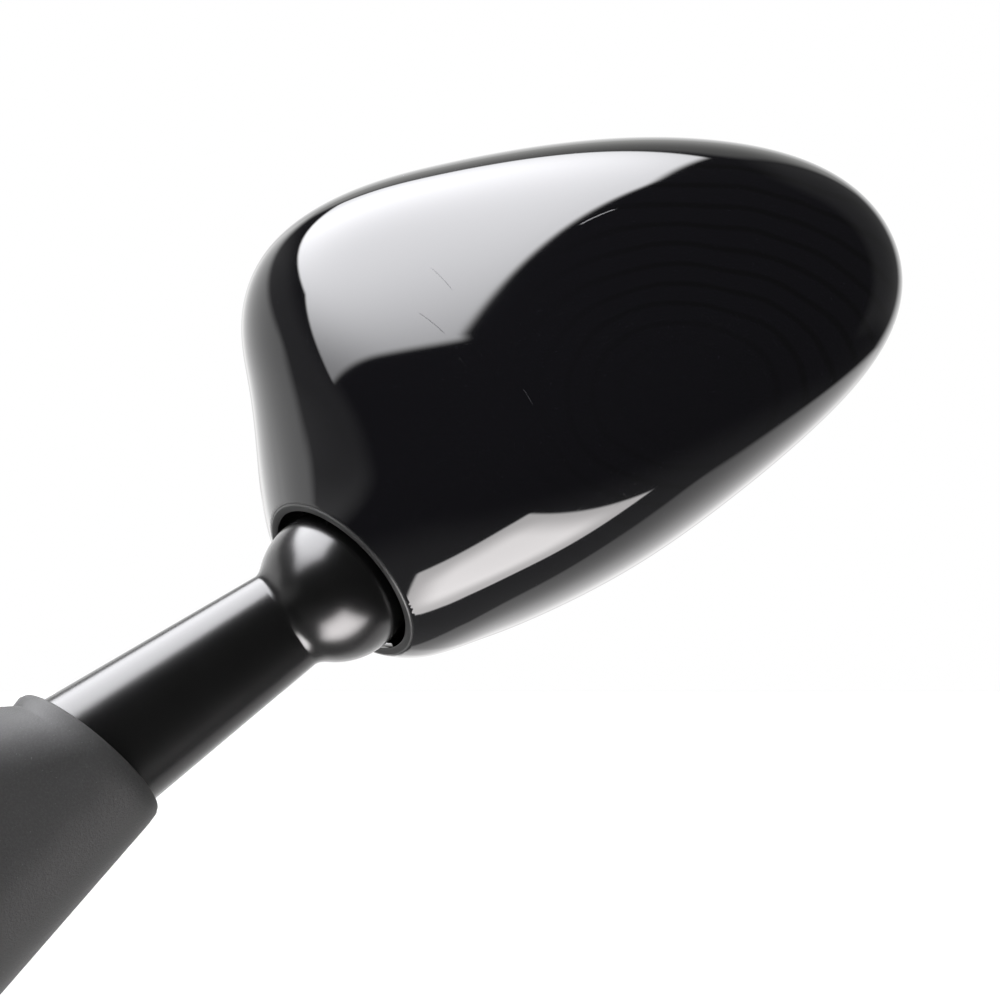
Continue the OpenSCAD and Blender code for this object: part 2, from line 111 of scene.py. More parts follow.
def addRings(bm, rings, closeEnds=True, loopBack=False):
    rows = [[bm.verts.new(p) for p in ring] for ring in rings]
    count = len(rows[0])
    pairs = list(zip(rows, rows[1:])) + ([(rows[-1], rows[0])] if loopBack else [])
    for low, high in pairs:
        for j in range(count):
            k = (j + 1) % count
            bm.faces.new((low[j], low[k], high[k], high[j]))
    if closeEnds and not loopBack:
        bm.faces.new(rows[0][::-1])
        bm.faces.new(rows[-1])
    return rows


def closeWithFan(bm, row, middle):
    tip = bm.verts.new(middle)
    for j in range(len(row)):
        bm.faces.new((row[j], row[(j + 1) % len(row)], tip))


def joinSolids(piece, others, operation, sharpAngle=35):
    # joins, cuts or crosses with closed solids one after another, then marks the edges again
    for other in others:
        change = piece.modifiers.new("join", "BOOLEAN")
        change.operation = operation
        change.object = other
        change.solver = "MANIFOLD"
    depsgraph = bpy.context.evaluated_depsgraph_get()
    mesh = bpy.data.meshes.new_from_object(piece.evaluated_get(depsgraph))
    piece.modifiers.clear()
    piece.data = mesh
    for other in others:
        bpy.data.objects.remove(other)
    bm = bmesh.new()
    bm.from_mesh(mesh)
    smoothUnder(bm, sharpAngle)
    bm.to_mesh(mesh)
    bm.free()


def turned(profile, start, axis, count=64):
    # a closed solid of revolution, profile is a list of (distance along the axis, radius)
    axis = unit(axis)
    across = unit(np.cross(axis, [0.3, 0.9, 0.2]))
    other = np.cross(axis, across)
    angles = np.linspace(0, 2 * math.pi, count, endpoint=False)
    circle = np.outer(np.cos(angles), across) + np.outer(np.sin(angles), other)
    bm = bmesh.new()
    addRings(bm, [np.asarray(start) + along * axis + radius * circle for along, radius in profile])
    return meshFromBmesh(bm, "turned")


def rod(start, axis, length, radius, count=64):
    return turned([(0, radius), (length, radius)], start, axis, count)


def slab(corner, edges):
    # a box from one corner along three edges
    bm = bmesh.new()
    a, b, c = (np.asarray(edge) for edge in edges)
    base = [corner, corner + a, corner + a + b, corner + b]
    addRings(bm, [base, [p + c for p in base]])
    return meshFromBmesh(bm, "slab")


# Shader maths as plain arithmetic
class Wire:
    def __init__(self, shader, socket):
        self.shader = shader
        self.socket = socket

    def maths(self, operation, *others):
        return self.shader.node("ShaderNodeMath", {"operation": operation}, (self, *others))

    def __add__(self, other):
        return self.maths("ADD", other)

    __radd__ = __add__

    def __mul__(self, other):
        return self.maths("MULTIPLY", other)

    __rmul__ = __mul__

    def __sub__(self, other):
        return self.maths("SUBTRACT", other)

    def __rsub__(self, other):
        return self.shader.node("ShaderNodeMath", {"operation": "SUBTRACT"}, (other, self))

    def __pow__(self, other):
        return self.maths("POWER", other)

    def clamped(self):
        return self.shader.node("ShaderNodeClamp", {}, (self, 0.0, 1.0))

    def between(self, low, high):
        # 0 below low, 1 above high, smooth between
        return self.shader.node("ShaderNodeMapRange", {"interpolation_type": "SMOOTHSTEP"},
                                {"Value": self, "From Min": low, "From Max": high})


class Shader:
    def __init__(self, tree):
        self.tree = tree

    def node(self, kind, settings=None, values=None, out=0):
        # a node of any kind: its settings first, then values or links for its sockets
        made = self.tree.nodes.new(kind)
        for key, value in (settings or {}).items():
            setattr(made, key, value)
        pairs = values.items() if isinstance(values, dict) else enumerate(values or ())
        for key, value in pairs:
            if isinstance(value, Wire):
                self.tree.links.new(value.socket, made.inputs[key])
            else:
                made.inputs[key].default_value = value
        return Wire(self, made.outputs[out]) if made.outputs else made

    def blendColours(self, share, first, second):
        return self.node("ShaderNodeMix", {"data_type": "RGBA"}, {0: share, 6: first, 7: second}, 2)


class Finish(Shader):
    # one material, with its constants set on the shader's own sockets
    def __init__(self, name, **constants):
        self.material = bpy.data.materials.new(name)
        self.material.use_nodes = True
        super().__init__(self.material.node_tree)
        self.surface = self.tree.nodes["Principled BSDF"]
        for key, value in constants.items():
            self.surface.inputs[key.replace("_", " ")].default_value = value
        self.place = self.node("ShaderNodeTexCoord", out="Object")

    def feed(self, socket, wire):
        self.tree.links.new(wire.socket, self.surface.inputs[socket])

    def brushed(self, angle, along, across):
        # front coordinates turned by an angle, in cells per metre along and across it
        return self.node("ShaderNodeMapping", {"vector_type": "TEXTURE"},
                         {"Vector": self.place, "Rotation": (0, -angle, 0),
                          "Scale": (1 / along, 1 / along, 1 / across)})

    def noise(self, scale, detail=3.0, roughness=0.55, vector=None):
        return self.node("ShaderNodeTexNoise", {"noise_dimensions": "3D"},
                         {"Vector": vector or self.place, "Scale": scale, "Detail": detail,
                          "Roughness": roughness})

    def bump(self, height, depth, strength):
        relief = self.node("ShaderNodeBump", {},
                           {"Strength": strength, "Distance": depth, "Height": height})
        self.feed("Normal", relief)


def grey(value, warmth=0.0):
    return (value * (1 + warmth), value, value * (1 - warmth), 1)


# Finishes, one function each
glossLook = {
    "colour": (0.0042, 0.0040, 0.0054, 1),
    "marked": (0.012, 0.012, 0.014, 1),
    "roughness": 0.03,
    "haze": 0.025,
    # single long scratches across the front, each from one (x, z) to another in millimetres
    "scratches": (((134, 160), (141, 152.5)), ((131, 148), (139, 141.5)), ((172, 170), (183, 175)),
                  ((158, 128), (161, 123))),
    "scratchWidth": 0.2 * mm,
    "scratchBow": 0.12,
    "scratchDepth": 1.5e-6,
    "scratchRoughness": 0.32,
    # short fine hairs in a few patches: angles in degrees, cells per metre along and across
    "hairAngles": (34, 62, -50, 5),
    "hairCells": (260, 3800),
    "hairRoughness": 0.16,
    # rings left by polishing, round the outboard half
    "ringMiddle": (200 * mm, 126 * mm),
    "ringStep": 5.2 * mm,
    "ringWander": 7 * mm,
    "ringFade": (8 * mm, 26 * mm),
    "ringShade": 0.55,
    "ringStart": (150 * mm, 205 * mm),      # along X
    # the sawn lip of the opening, dull and a little lighter down to these depths under its plane
    "cutLip": grey(0.035),
    "cutDepth": (-0.50 * mm, -0.30 * mm),
    "cutRoughness": 0.4,
}


def makeGlossShell():
    finish = Finish("glossShell", IOR=1.5)
    x, z = (finish.node("ShaderNodeSeparateXYZ", {}, (finish.place,), out=k) for k in (0, 2))
    marks = None
    width = glossLook["scratchWidth"]
    for (x0, z0), (x1, z1) in glossLook["scratches"]:
        dx, dz = x1 - x0, z1 - z0
        length = math.hypot(dx, dz)
        dx, dz, half = dx / length, dz / length, length / 2 * mm
        u = (x - (x0 + x1) / 2 * mm) * dx + (z - (z0 + z1) / 2 * mm) * dz
        v = (z - (z0 + z1) / 2 * mm) * dx - (x - (x0 + x1) / 2 * mm) * dz
        bow = u * u * (glossLook["scratchBow"] / length / mm)
        line = ((1 - (v + bow).maths("ABSOLUTE").between(width * 0.3, width))
                * (1 - u.maths("ABSOLUTE").between(half * 0.6, half)))
        marks = line if marks is None else marks.maths("MAXIMUM", line)
    hairs = None
    for angle in glossLook["hairAngles"]:
        strands = finish.brushed(math.radians(angle), *glossLook["hairCells"])
        hair = finish.noise(1.0, 1.0, 0.4, strands).between(0.72, 0.78)
        hairs = hair if hairs is None else hairs.maths("MAXIMUM", hair)
    hairs = hairs * finish.noise(26.0, 2.0).between(0.52, 0.68)
    ringX, ringZ = glossLook["ringMiddle"]
    away = ((x - ringX) ** 2 * 0.55 + (z - ringZ) ** 2) ** 0.5
    wave = (away + finish.noise(22.0, 2.0) * glossLook["ringWander"]) * (2 * math.pi / glossLook["ringStep"])
    rings = wave.maths("SINE").between(0.4, 1.0) * away.between(*glossLook["ringFade"])
    rings = rings * x.between(*glossLook["ringStart"])
    haze = finish.noise(24.0, 4.0).between(0.35, 0.8)
    shade = finish.blendColours(rings * glossLook["ringShade"], glossLook["colour"], grey(0.0018))
    shade = finish.blendColours((marks + hairs * 0.6).clamped(), shade, glossLook["marked"])
    lip = (finish.node("ShaderNodeVectorMath", {"operation": "DOT_PRODUCT"},
                       (finish.place, tuple(mouthAxis)), out="Value")
           - float(mouthMiddle @ mouthAxis)).between(*glossLook["cutDepth"])
    finish.feed("Base Color", finish.blendColours(lip, shade, glossLook["cutLip"]))
    finish.feed("Roughness", haze * glossLook["haze"] + marks * glossLook["scratchRoughness"]
                + hairs * glossLook["hairRoughness"] + lip * glossLook["cutRoughness"]
                + glossLook["roughness"])
    finish.bump(marks + hairs * 0.35, glossLook["scratchDepth"], 0.6)
    return finish.material


castingLook = {
    "shades": (grey(0.003), grey(0.005)),
    "roughness": 0.19,
    "grain": 2600.0,            # cells per metre
    "grainDepth": 2.2e-5,
}


def makeCoatedCasting():
    finish = Finish("coatedCasting", IOR=1.5)
    grain = finish.noise(castingLook["grain"], 2.0, 0.6)
    wide = finish.noise(60.0, 3.0)
    finish.feed("Base Color", finish.blendColours(wide, *castingLook["shades"]))
    finish.feed("Roughness", wide * 0.05 + grain * 0.05 + castingLook["roughness"])
    finish.bump(grain, castingLook["grainDepth"], 0.35)
    return finish.material


rubberLook = {
    "shades": (grey(0.020), grey(0.027)),
    "speck": grey(0.045),
    "dust": grey(0.20),
    "roughness": 0.48,
    "grain": 1700.0,            # cells per metre
    "grainDepth": 1.6e-4,
}


def makeBootRubber():
    finish = Finish("bootRubber", IOR=1.45)
    speck = finish.noise(rubberLook["grain"], 3.0, 0.75)
    wide = finish.noise(28.0, 4.0)
    dust = finish.noise(2600.0, 1.0, 0.5).between(0.74, 0.82)
    shade = finish.blendColours(wide, *rubberLook["shades"])
    shade = finish.blendColours(speck.between(0.4, 0.7) * 0.5, shade, rubberLook["speck"])
    finish.feed("Base Color", finish.blendColours(dust * 0.5, shade, rubberLook["dust"]))
    finish.feed("Roughness", speck * 0.2 + rubberLook["roughness"])
    finish.bump(speck, rubberLook["grainDepth"], 0.8)
    return finish.material


def makeMirrorGlass():
    finish = Finish("mirrorGlass", Metallic=1.0)
    smear = finish.noise(30.0, 4.0).between(0.45, 0.8)
    finish.feed("Base Color", finish.blendColours(smear, (0.80, 0.82, 0.84, 1), (0.77, 0.79, 0.81, 1)))
    finish.feed("Roughness", smear * 0.03 + 0.012)
    return finish.material


def scaled(colour, share):
    return (*(value * share for value in colour[:3]), 1)


def makeMetal(name, colour, roughness, grainScale, patchy):
    finish = Finish(name, Metallic=1.0)
    grain = finish.noise(grainScale, 3.0, 0.6)
    wide = finish.noise(140.0, 3.0)
    finish.feed("Base Color", finish.blendColours(wide, scaled(colour, patchy), colour))
    finish.feed("Roughness", grain * 0.16 + wide * 0.08 + roughness)
    finish.bump(grain, 2e-5, 0.3)
    return finish.material


def makePlastic(name, colour, roughness, grainDepth):
    finish = Finish(name, IOR=1.46)
    grain = finish.noise(1800.0, 2.0, 0.6)
    wide = finish.noise(50.0, 3.0)
    finish.feed("Base Color", finish.blendColours(wide, colour, scaled(colour, 1.3)))
    finish.feed("Roughness", grain * 0.12 + roughness)
    finish.bump(grain, grainDepth, 0.4)
    return finish.material


def makeFoam():
    finish = Finish("foam", IOR=1.4)
    cells = finish.node("ShaderNodeTexVoronoi", {"feature": "F1"}, {"Vector": finish.place, "Scale": 900.0})
    finish.feed("Base Color", finish.blendColours(cells, grey(0.03), grey(0.12)))
    finish.feed("Roughness", cells * 0.1 + 0.85)
    finish.bump(cells, 2e-4, 0.7)
    return finish.material


finishes = {
    "shell_gloss": makeGlossShell(),
    "mirror": makeMirrorGlass(),
    "foam": makeFoam(),
    "inner_plastic": makePlastic("innerPlastic", grey(0.03), 0.5, 4e-5),
    "liner_plastic": makePlastic("linerPlastic", grey(0.6, 0.04), 0.4, 2e-5),
    "plated_steel": makeMetal("platedSteel", (0.46, 0.46, 0.47, 1), 0.3, 1500.0, 0.75),
    "spring_steel": makeMetal("springSteel", (0.42, 0.42, 0.43, 1), 0.3, 1200.0, 0.7),
    "coated_casting": makeCoatedCasting(),
    "bronze": makeMetal("bronze", (0.62, 0.43, 0.2, 1), 0.3, 1300.0, 0.75),
    "boot_rubber": makeBootRubber(),
}
slotOf = {part["node"]: part["material_slot"] for part in frame["record"]["subparts"]}


def dress(piece, slot):
    piece.data.materials.clear()
    piece.data.materials.append(finishes[slot])


for node, piece in nodes.items():
    dress(piece, slotOf[node])


def standFor(piece, node, body=None):
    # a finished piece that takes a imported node's place, finish and body
    dress(piece, slotOf[node])
    if body:
        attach(piece, body)
    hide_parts(node)


print("finishes made:", len(finishes))


# Shell
headForm = {
    "length": 184 * mm,
    "height": 114 * mm,
    "depth": 60 * mm,
    "lean": math.radians(27),
    "ballSetIn": 18.5 * mm,     # from the head's near end to the ball, along the head
    "ballDrop": 16.4 * mm,      # the ball lies this much below the head's middle line
    "crownBack": 17 * mm,       # from the head's middle back to the crown, along the head
    "crownLow": 7 * mm,
    "crownHalf": (73 * mm, 49 * mm),        # the oval that the dome leans towards on its way up
    "shoulder": 2.7,            # 2 is a round dome, more makes its shoulder sharper
    "wall": 2.2 * mm,
    # shares of an ellipse at even turns from the outboard end over the top, which the rim follows
    "outline": (1.09, 1.08, 1.06, 1.10, 1.22, 1.50, 1.02, 0.915,
                0.915, 0.985, 1.055, 0.90, 0.833, 0.813, 0.893, 1.07),
    "mouthRadius": 22.4 * mm,
    "neckIn": 26 * mm,          # how far the round form reaches in and out of the opening's plane
    "neckOut": 12 * mm,
    "neckRimBand": 5.5 * mm,    # next to the rim the round form fades out
    "neckFade": (1.4, 0.8),     # the neck fades from here, over this width, in mouth radii
    "columns": 360,
    "rows": 96,
    "innerRows": 40,
    "sectionRows": 400,
    "rimCrowding": 1.25,        # above 1 the rows lie closer near the rim
    "rimShare": 0.004,          # the rows stop this far from the rim, and these from the crown
    "crownShare": 0.002,
    "innerCrownShare": 0.01,
    "lipRound": 0.45 * mm,
    "innerLipRound": 0.3 * mm,
    "rimRound": 0.6 * mm,
    "rimSteps": 7,
}


def closedCurve(values, t):
    # uniform cubic B-spline round a closed list, t in turns
    values = np.asarray(values)
    count = len(values)
    s = (t % 1.0) * count
    k = np.floor(s).astype(int)
    f = s - k
    weights = ((1 - f) ** 3, 3 * f ** 3 - 6 * f * f + 4, -3 * f ** 3 + 3 * f * f + 3 * f + 1, f ** 3)
    return sum(values[(k + i - 1) % count] * weights[i] for i in range(4)) / 6


def leaned(x, z):
    c, s = math.cos(headForm["lean"]), math.sin(headForm["lean"])
    return np.stack([x * c - z * s, x * s + z * c], axis=-1)


headMiddle = ballMiddle[[0, 2]] + leaned(headForm["length"] / 2 - headForm["ballSetIn"], headForm["ballDrop"])
crown = headMiddle - leaned(headForm["crownBack"], headForm["crownLow"])


def turnsRound(every=1):
    return np.arange(0, headForm["columns"], every) / headForm["columns"]


def outline(turn):
    # the rim seen from the front, as radii round the head's middle
    r = closedCurve(headForm["outline"], turn)
    a = turn * 2 * math.pi
    return headMiddle + leaned(headForm["length"] / 2 * r * np.cos(a), headForm["height"] / 2 * r * np.sin(a))


def insetOutline(turn, inset):
    step = 0.5 / headForm["columns"]
    along = outline(turn + step) - outline(turn - step)
    along /= np.linalg.norm(along, axis=-1, keepdims=True)
    return outline(turn) + inset * np.stack([-along[..., 1], along[..., 0]], axis=-1)


def domeCurve(turn, t, inset):
    # t runs from 0 at the rim to 1 at the crown
    phi = math.pi / 2 * t ** headForm["rimCrowding"]
    h, v = math.cos(phi), math.sin(phi) ** (2 / headForm["shoulder"])
    a = turn * 2 * math.pi
    half = headForm["crownHalf"]
    inner = leaned((half[0] - inset) * np.cos(a), (half[1] - inset) * np.sin(a))
    q = crown + h * ((insetOutline(turn, inset) - crown) * h * h + (1 - h * h) * inner)
    y = rimY - (headForm["depth"] - inset) * v
    return np.stack([q[:, 0], np.full(len(q), y), q[:, 1]], axis=-1)


mouthAcross = unit(np.cross(mouthAxis, [0, 0, 1]))
mouthOther = np.cross(mouthAxis, mouthAcross)


def roundTheMouth(points):
    # height over the opening's plane, the way out from its axis, and the angle round it
    rel = points - mouthMiddle
    h = rel @ mouthAxis
    side = rel - h[..., None] * mouthAxis
    angle = np.arctan2(side @ mouthOther, side @ mouthAcross)
    return h, side, angle


def naturalSection(inset):
    # radius of the untouched shell where the opening's plane crosses it, by angle
    turn = turnsRound()
    grid = np.stack([domeCurve(turn, t, inset) for t in np.linspace(0.0, 0.999, headForm["sectionRows"])])
    h, side, _ = roundTheMouth(grid)
    radius = np.linalg.norm(side, axis=-1)
    crossed = (h[:-1] < 0) != (h[1:] < 0)
    near = crossed & (radius[:-1] < 2 * headForm["mouthRadius"])
    share = (h[:-1] / (h[:-1] - h[1:]))[near]
    there = side[:-1][near] * (1 - share[:, None]) + side[1:][near] * share[:, None]
    theta = np.arctan2(there @ mouthOther, there @ mouthAcross)
    order = np.argsort(theta)
    return theta[order], np.linalg.norm(there, axis=1)[order]


sections = {inset: naturalSection(inset) for inset in (0, headForm["wall"] / 2, headForm["wall"])}


def neck(points, radius, inset):
    # draws the shell to a true round of this radius where it comes near the opening
    h, side, angle = roundTheMouth(points)
    theta, natural = sections[inset]
    fadeStart, fadeWidth = headForm["neckFade"]
    need = radius - np.interp(angle, theta, natural, period=2 * math.pi)
    reach = np.where(h < 0, headForm["neckIn"], headForm["neckOut"])
    band = smoothStep((rimY - points[:, 1]) / headForm["neckRimBand"])
    weight = np.where(np.abs(h) < reach, (1 - (h / reach) ** 2) ** 3, 0) * band
    s = np.maximum(np.linalg.norm(side, axis=1), 1e-5)
    close = 1 - smoothStep((s - fadeStart * radius) / (fadeWidth * radius))
    return points + side * (need * weight * close / s)[:, None]


def domeRing(turn, t, inset):
    return neck(domeCurve(turn, t, inset), headForm["mouthRadius"] + headForm["wall"] - inset, inset)


def makeShell():
    turn = turnsRound()
    first = headForm["rimShare"]
    outer = [domeRing(turn, t, 0)
             for t in np.linspace(1 - headForm["crownShare"], first, headForm["rows"])]
    inner = [domeRing(turn, t, headForm["wall"])
             for t in np.linspace(first, 1 - headForm["innerCrownShare"], headForm["innerRows"])]
    # the rim turns over between the outer and the inner wall
    r = headForm["rimRound"]
    rim = []
    for part in range(1, headForm["rimSteps"]):
        angle = math.pi * part / headForm["rimSteps"]
        share = (1 - math.cos(angle)) / 2
        lift = r * math.sin(angle)
        flat = insetOutline(turn, headForm["wall"] * share)
        rim.append(np.stack([flat[:, 0], np.full(len(flat), rimY - r + lift), flat[:, 1]], axis=-1))
    outer[-1][:, 1] = np.minimum(outer[-1][:, 1], rimY - r)
    inner[0][:, 1] = np.minimum(inner[0][:, 1], rimY - r)
    bm = bmesh.new()
    rows = addRings(bm, outer + rim + inner, closeEnds=False)
    for row, inset in ((rows[0], 0), (rows[-1], headForm["wall"])):
        closeWithFan(bm, row, (crown[0], rimY - headForm["depth"] + inset, crown[1]))

    # the opening: cut a little inside its plane, then turn the lip over it
    lip, inLip = headForm["lipRound"], headForm["innerLipRound"]
    cutPlace = mouthMiddle - lip * mouthAxis
    bmesh.ops.bisect_plane(bm, geom=bm.verts[:] + bm.edges[:] + bm.faces[:], dist=1e-7,
                           plane_co=Vector(cutPlace), plane_no=Vector(mouthAxis), clear_outer=True)
    border = [edge for edge in bm.edges if edge.is_boundary]

    def polar(vert):
        rel = np.array(vert.co) - mouthMiddle
        side = rel - (rel @ mouthAxis) * mouthAxis
        return side / np.linalg.norm(side), np.linalg.norm(side)

    outerRadius = headForm["mouthRadius"] + headForm["wall"]
    middleRadius = headForm["mouthRadius"] + headForm["wall"] / 2
    outerLoop = [edge for edge in border if polar(edge.verts[0])[1] > middleRadius]
    innerLoop = [edge for edge in border if polar(edge.verts[0])[1] <= middleRadius]
    profile = [(outerRadius - lip + lip * math.cos(b), -lip + lip * math.sin(b))
               for b in np.linspace(0, math.pi / 2, 6)[1:]]
    profile += [(headForm["mouthRadius"] + inLip + inLip * math.cos(b), -inLip + inLip * math.sin(b))
                for b in np.linspace(math.pi / 2, math.pi, 5)]
    loop = outerLoop
    for radius, h in profile:
        made = bmesh.ops.extrude_edge_only(bm, edges=loop)
        verts = [item for item in made["geom"] if isinstance(item, bmesh.types.BMVert)]
        loop = [item for item in made["geom"] if isinstance(item, bmesh.types.BMEdge) and item.is_boundary]
        for vert in verts:
            direction, _ = polar(vert)
            vert.co = Vector(mouthMiddle + direction * radius + h * mouthAxis)
    bmesh.ops.bridge_loops(bm, edges=loop + innerLoop)
    openEdges = sum(1 for edge in bm.edges if len(edge.link_faces) != 2)
    print("shell:", len(bm.faces), "faces,", openEdges, "open edges")
    shell = meshFromBmesh(bm, "mirrorShell", 40)
    joinSolids(shell, [makeSupports()], "UNION", 40)
    return shell


# Posts for the tray, bosses for the socket plate and their ribs
supportForm = {
    "posts": ((52 * mm, 2 * mm), (-48 * mm, 38 * mm), (-14 * mm, -36 * mm)),   # in the head's leaned frame
    "postRadius": 4 * mm,
    "postGap": 0.3 * mm,
    "holeRadius": 1.5 * mm,
    "holeDepth": 12 * mm,
    "ribWidth": 2 * mm,
    "ribLength": 18 * mm,
    "ribAngles": (45, 135),
    "bossAngles": (30, 140, 205),
    "bossRing": 21.5 * mm,
    "bossRadius": 3.4 * mm,
    "bossHeight": 7 * mm,
    "bossTop": 13.6 * mm,
    "bossRib": 22 * mm,
    "bossHoleStart": 6 * mm,    # below the boss's foot
    "socketRadius": 21.6 * mm,
    "mouthRoom": 40 * mm,       # how far the opening's axis is kept clear
    "holderRoom": (120 * mm, 20 * mm),      # side and depth of the room for the tray
}


def inHead(place, y):
    # a place given along and across the leaned head, at a height along Y
    x, z = headMiddle + leaned(*place)
    return np.array([x, y, z])


def insideOfShell(inset):
    turn = turnsRound(every=4)
    heights = np.linspace(0, 1 - headForm["innerCrownShare"], headForm["innerRows"])
    bm = bmesh.new()
    rows = addRings(bm, [domeRing(turn, t, inset) for t in heights], closeEnds=False)
    bm.faces.new(rows[0])
    closeWithFan(bm, rows[-1], (crown[0], rimY - headForm["depth"] + inset, crown[1]))
    return meshFromBmesh(bm, "insideOfShell")


def makeSupports():
    form = supportForm
    outward, crownY = np.array([0, 1.0, 0]), rimY - headForm["depth"]
    top = holderFloor - form["postGap"]
    across = unit(np.cross([0, 0, 1], armAxis))
    upright = np.cross(across, armAxis)
    solids, holes = [], []
    for place in form["posts"]:
        foot = inHead(place, crownY)
        solids.append(rod(foot, outward, top - crownY, form["postRadius"], 32))
        for angle in form["ribAngles"]:
            a = math.radians(angle)
            along = np.array([math.cos(a), 0, math.sin(a)]) * form["ribLength"]
            thick = np.array([-math.sin(a), 0, math.cos(a)]) * form["ribWidth"]
            solids.append(slab(foot - along / 2 - thick / 2,
                               (along, thick, outward * (top - crownY - form["holeDepth"]))))
        holes.append(rod(inHead(place, top - form["holeDepth"]), outward, form["holeDepth"] + mm,
                         form["holeRadius"], 24))
    for angle in form["bossAngles"]:
        a = math.radians(angle)
        away = math.cos(a) * upright + math.sin(a) * across
        flank = np.cross(armAxis, away)
        foot = ballMiddle + form["bossRing"] * away + (form["bossTop"] - form["bossHeight"]) * armAxis
        rise = form["bossHeight"] * armAxis
        solids.append(rod(foot, armAxis, form["bossHeight"], form["bossRadius"], 32))
        solids.append(slab(foot - flank * form["ribWidth"] / 2,
                           (away * form["bossRib"], flank * form["ribWidth"], rise)))
        start = form["bossHoleStart"]
        holes.append(rod(foot - start * armAxis, armAxis, start + form["bossHeight"] + mm,
                         form["holeRadius"], 24))
    pole = 0.05                 # radians left flat at both ends of the round room
    ballRoom = turned([(-form["socketRadius"] * math.cos(a), form["socketRadius"] * math.sin(a))
                       for a in np.linspace(pole, math.pi - pole, 40)], ballMiddle, armAxis, 64)
    mouthRoom = rod(mouthMiddle - headForm["lipRound"] * mouthAxis, mouthAxis, form["mouthRoom"],
                    2 * headForm["mouthRadius"])
    side, deep = form["holderRoom"]
    holderRoom = slab(np.array([ballMiddle[0] - side / 2, top, ballMiddle[2] - side / 2]),
                      (np.array([side, 0, 0]), np.array([0, deep, 0]), np.array([0, 0, side])))
    supports = solids[0]
    joinSolids(supports, solids[1:], "UNION")
    joinSolids(supports, [insideOfShell(headForm["wall"] / 2)], "INTERSECT")
    joinSolids(supports, holes + [ballRoom, mouthRoom, holderRoom], "DIFFERENCE")
    return supports


shell = makeShell()
standFor(shell, "housing", "head")
print("supports joined:", len(shell.data.polygons), "faces")


# Glass and its tray
glassForm = {
    "curve": 1400 * mm,
    "thickness": 2 * mm,
    "sag": 2.6 * mm,
    "edgeLift": 1 * mm,        # the glass's middle stands this much above its seat, before the sag
    "inset": 5.0 * mm,
    "bevel": 0.35 * mm,
}
trayForm = {
    "inset": 2.5 * mm,
    "floor": 1.5 * mm,
    "lip": 1.2 * mm,
    "lipDrop": 1.2 * mm,
    "lipRound": 0.3 * mm,
    "screwHole": 1.6 * mm,
    "window": (31 * mm, 24 * mm),       # room for the clamp stud, from the ball outboard and up
    "windowRadius": 14 * mm,
    "screwCut": 4 * mm,                 # lengths of the cutting rods
    "windowCut": 12 * mm,
    "mouthGap": 6 * mm,                 # the tray keeps this far in from the opening's plane
}


def outlineRing(turn, inset, y):
    flat = insetOutline(turn, inset)
    return np.stack([flat[:, 0], np.broadcast_to(y, (len(flat),)), flat[:, 1]], axis=-1)


def glassFront(points, setBack):
    # height of the ball that the glass is a slice of, or of a ball inside it
    seat = holderFloor + trayForm["floor"]
    middleY = seat + glassForm["edgeLift"] + glassForm["sag"] + glassForm["thickness"] - glassForm["curve"]
    away = np.hypot(points[:, 0] - headMiddle[0], points[:, 2] - headMiddle[1])
    return middleY + np.sqrt((glassForm["curve"] - setBack) ** 2 - away ** 2)


def makeGlass():
    turn = turnsRound()
    edge = outlineRing(turn, glassForm["inset"], 0.0)
    middle = np.array([headMiddle[0], 0, headMiddle[1]])
    bevelled = outlineRing(turn, glassForm["inset"] + glassForm["bevel"], 0.0)

    def sheet(shares, source, setBack):
        rings = []
        for share in shares:
            ring = middle + (source - middle) * share
            ring[:, 1] = glassFront(ring, setBack)
            rings.append(ring)
        return rings

    bm = bmesh.new()
    shares = np.linspace(0.05, 1, 16)
    thickness, bevel = glassForm["thickness"], glassForm["bevel"]
    front = sheet(shares, bevelled, 0)
    side = sheet([1], edge, bevel) + sheet([1], edge, thickness - bevel)
    back = sheet(shares[::-1], bevelled, thickness)
    rows = addRings(bm, front + side + back, closeEnds=False)
    for row, setBack in ((rows[0], 0), (rows[-1], thickness)):
        tip = middle[None].copy()
        tip[:, 1] = glassFront(tip, setBack)
        closeWithFan(bm, row, tip[0])
    return meshFromBmesh(bm, "mirrorGlass", 25)


def makeTray():
    turn = turnsRound()
    top = rimY - trayForm["lipDrop"]
    r = trayForm["lipRound"]
    outerInset, innerInset = trayForm["inset"], trayForm["inset"] + trayForm["lip"]
    rings = [outlineRing(turn, outerInset, holderFloor)]
    for part in range(5):
        angle = math.pi / 2 * part / 4
        rings.append(outlineRing(turn, outerInset + r * (1 - math.cos(angle)), top - r + r * math.sin(angle)))
    for part in range(5):
        angle = math.pi / 2 * (1 + part / 4)
        rings.append(outlineRing(turn, innerInset - r * (1 + math.cos(angle)), top - r + r * math.sin(angle)))
    rings.append(outlineRing(turn, innerInset, holderFloor + trayForm["floor"]))
    bm = bmesh.new()
    addRings(bm, rings)
    tray = meshFromBmesh(bm, "glassTray", 30)
    outward = np.array([0, 1.0, 0])
    cuts = [rod(inHead(place, holderFloor - mm), outward, trayForm["screwCut"], trayForm["screwHole"], 24)
            for place in supportForm["posts"]]
    window = np.array([ballMiddle[0] + trayForm["window"][0], holderFloor - mm,
                       ballMiddle[2] + trayForm["window"][1]])
    cuts.append(rod(window, outward, trayForm["windowCut"], trayForm["windowRadius"]))
    cuts.append(rod(mouthMiddle - trayForm["mouthGap"] * mouthAxis, mouthAxis, headForm["depth"] / 2,
                    2 * headForm["mouthRadius"]))
    joinSolids(tray, cuts, "DIFFERENCE", 30)
    return tray


glass = makeGlass()
standFor(glass, "mirror_glass", "head")
tray = makeTray()
standFor(tray, "glass_holder", "head")
print("glass and tray made")


